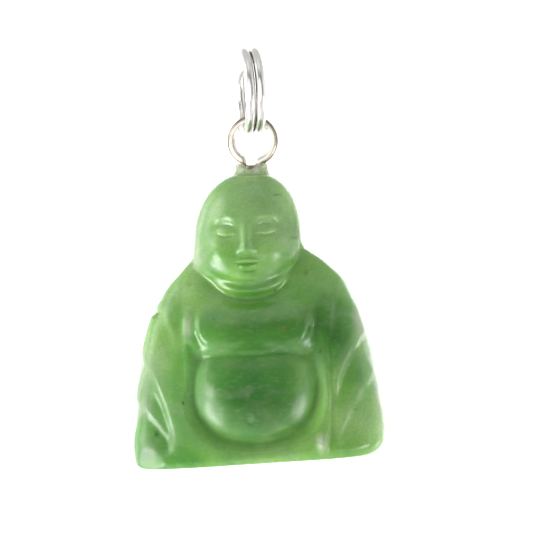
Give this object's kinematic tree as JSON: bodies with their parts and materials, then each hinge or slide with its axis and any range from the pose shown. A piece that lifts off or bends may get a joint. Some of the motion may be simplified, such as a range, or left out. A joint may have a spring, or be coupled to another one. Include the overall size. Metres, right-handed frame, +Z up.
{
  "type": "carved stone pendant charm",
  "caption": "Small pendant charm: a seated round-bellied figure in an open robe, carved from green stone, with a wire eye cemented in the crown and a double split ring.",
  "frame": {"origin": "inside the top of the split ring's wire, where a cord or another ring carries the charm", "axes": "+Z up, away from the figure's flat base; the figure faces -Y; +X to the right as seen from its front"},
  "size_m": [0.0175, 0.0087, 0.0288],
  "materials": {
    "jade": "polished",
    "wire": "polished",
    "cement": "rough",
    "ring": "polished"
  },
  "bodies": {
    "split_ring": {"split_ring": "ring"},
    "pendant": {"jade_figure": "jade", "wire_eye": "wire", "cement_collar": "cement"}
  },
  "joints": [
    {"name": "pendant_swing", "type": "hinge", "parent": "split_ring", "child": "pendant", "pos_m": [0, 0, -0.00433], "axis": [1, 0, 0], "range_deg": [-80, 80]}
  ]
}
